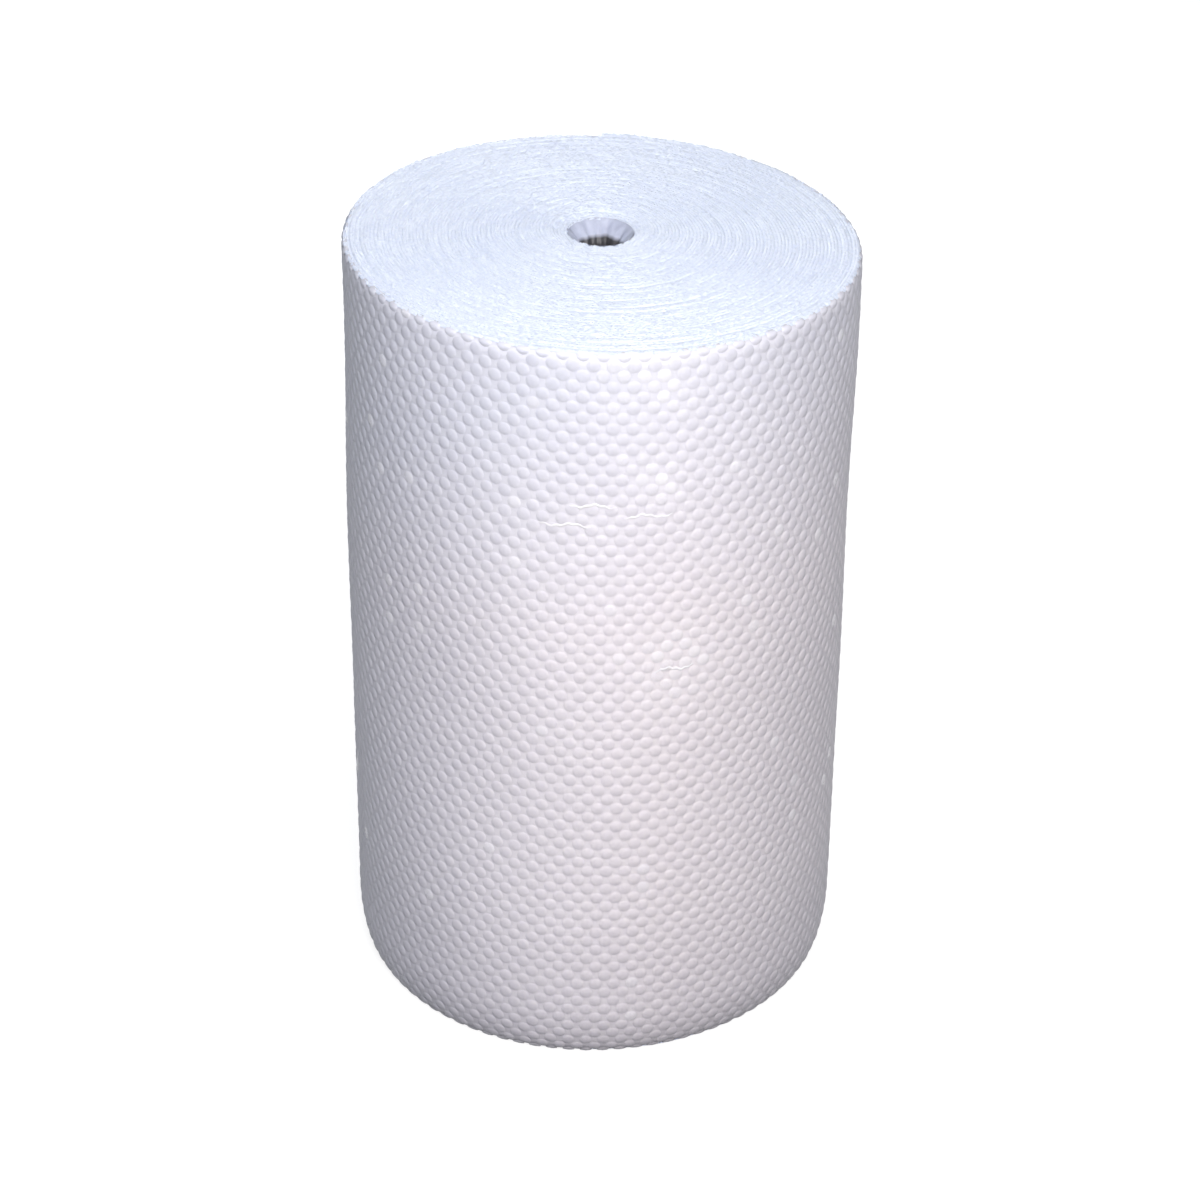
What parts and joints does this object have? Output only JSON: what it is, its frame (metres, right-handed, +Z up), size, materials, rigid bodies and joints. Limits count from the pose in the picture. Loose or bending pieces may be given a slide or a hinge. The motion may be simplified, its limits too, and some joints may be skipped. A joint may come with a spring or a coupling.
{
  "type": "bubble wrap roll",
  "caption": "Coreless roll of milky white small-bubble packing film standing on its end, with a plain hole down its middle and its loose end flat on the wall.",
  "frame": {"origin": "on the roll's axis, in the plane of the end that it stands on", "axes": "+Z up along the roll's axis; +Y towards the back, where the sheet's loose end lies on the wall; -Y is the side that the picture shows"},
  "size_m": [0.374, 0.376, 0.6],
  "materials": {
    "bubble_film": "milky white translucent polyethylene film with rows of small air bubbles"
  },
  "bodies": {
    "root": {"bubble_film_roll": "bubble_film"}
  },
  "joints": []
}
